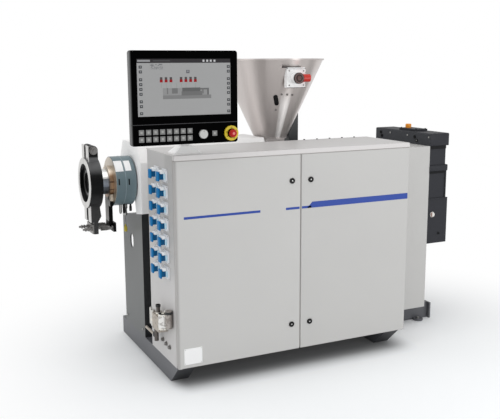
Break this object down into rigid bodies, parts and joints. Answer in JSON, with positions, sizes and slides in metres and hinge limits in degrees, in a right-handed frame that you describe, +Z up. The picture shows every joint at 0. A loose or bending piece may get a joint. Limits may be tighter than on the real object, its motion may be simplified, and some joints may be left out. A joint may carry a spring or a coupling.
{
  "type": "plastic extruder",
  "caption": "Single-screw plastic extruder: cabinet with hinged doors, heated barrel with clamp ring, cone hopper, gearbox and a swivelling operator panel.",
  "frame": {"origin": "on the floor under the middle of the machine's overall box", "axes": "+X along the machine towards the drive end, the die end at -X; the doors and the operator panel face -Y; +Z up"},
  "size_m": [2.333, 1.183, 1.773],
  "materials": {
    "cabinet_paint": "satin powder coat",
    "side_sheet": "satin powder coat",
    "base_paint": "satin paint",
    "stand_paint": "satin paint",
    "cover_paint": "satin powder coat",
    "gearbox_paint": "satin paint",
    "drive_paint": "satin powder coat",
    "machined_steel": "machined",
    "dark_steel": "blackened",
    "face_steel": "machined",
    "heater_paint": "satin paint",
    "band_copper": "satin",
    "hopper_steel": "brushed",
    "black_paint": "satin paint",
    "sensor_plate": "satin",
    "sensor_dark": "gloss",
    "foot_white": "satin powder coat",
    "panel_black": "satin",
    "screen_glass": "gloss",
    "key_grey": "satin",
    "dial_white": "satin",
    "stop_yellow": "gloss",
    "stop_red": "gloss",
    "socket_blue": "satin",
    "breather_orange": "gloss",
    "sight_glass": "gloss",
    "lock_metal": "satin",
    "fitting_metal": "satin"
  },
  "bodies": {
    "machine": {"base_beam_left": "base_paint", "base_beam_middle": "base_paint", "base_rail_front": "base_paint", "base_rail_rear": "base_paint", "base_end_plate": "base_paint", "barrel_stand": "stand_paint", "barrel_cover": "cover_paint", "barrel": "machined_steel", "heater_cover": "heater_paint", "nozzle_band": "band_copper", "melt_probe": "machined_steel", "clamp_half_front": "dark_steel", "clamp_half_rear": "dark_steel", "clamp_face_front": "face_steel", "clamp_face_rear": "face_steel", "clamp_bolt": "machined_steel", "clamp_hinge": "machined_steel", "hinge_arm": "black_paint", "barrel_flange": "dark_steel", "cabinet_side_left": "side_sheet", "cabinet_side_right": "side_sheet", "cabinet_top": "cabinet_paint", "cabinet_floor": "cabinet_paint", "cabinet_back": "cabinet_paint", "centre_post": "cabinet_paint", "drive_housing": "drive_paint", "drive_bulkhead": "base_paint", "gearbox_case": "gearbox_paint", "gearbox_head": "gearbox_paint", "gearbox_lid": "gearbox_paint", "breather_cap": "breather_orange", "oil_sight_glass": "sight_glass", "thrust_housing": "black_paint", "feed_section": "machined_steel", "hopper_throat": "hopper_steel", "hopper_cone": "hopper_steel", "hopper_support": "black_paint", "level_sensor": "sensor_plate", "sensor_knob": "sensor_dark", "sensor_cap": "stop_red", "swivel_foot": "foot_white", "heater_sockets": "socket_blue", "water_manifold": "fitting_metal"},
    "door_left": {"door_left": "cabinet_paint", "locks_left": "lock_metal"},
    "door_right": {"door_right": "cabinet_paint", "locks_right": "lock_metal"},
    "panel": {"swivel_neck": "foot_white", "panel_housing": "panel_black", "panel_screen": "screen_glass", "panel_keys": "key_grey", "stop_collar": "stop_yellow"},
    "dial": {"panel_dial": "dial_white"},
    "stop_button": {"stop_button": "stop_red"}
  },
  "joints": [
    {"name": "door_left_hinge", "type": "hinge", "parent": "machine", "child": "door_left", "pos_m": [-0.8455, -0.4925, 0.66], "axis": [0, 0, -1], "range_deg": [0, 110]},
    {"name": "door_right_hinge", "type": "hinge", "parent": "machine", "child": "door_right", "pos_m": [0.5945, -0.4925, 0.66], "axis": [0, 0, 1], "range_deg": [0, 110]},
    {"name": "panel_swivel", "type": "hinge", "parent": "machine", "child": "panel", "pos_m": [-0.7615, -0.4075, 1.3], "axis": [0, 0, 1], "range_deg": [-90, 90]},
    {"name": "dial_turn", "type": "hinge", "parent": "panel", "child": "dial", "pos_m": [-0.7165, -0.5535, 1.361], "axis": [0, -1, 0], "continuous": true},
    {"name": "stop_press", "type": "slide", "parent": "panel", "child": "stop_button", "axis": [0, 1, 0], "range_m": [0, 0.005]}
  ]
}
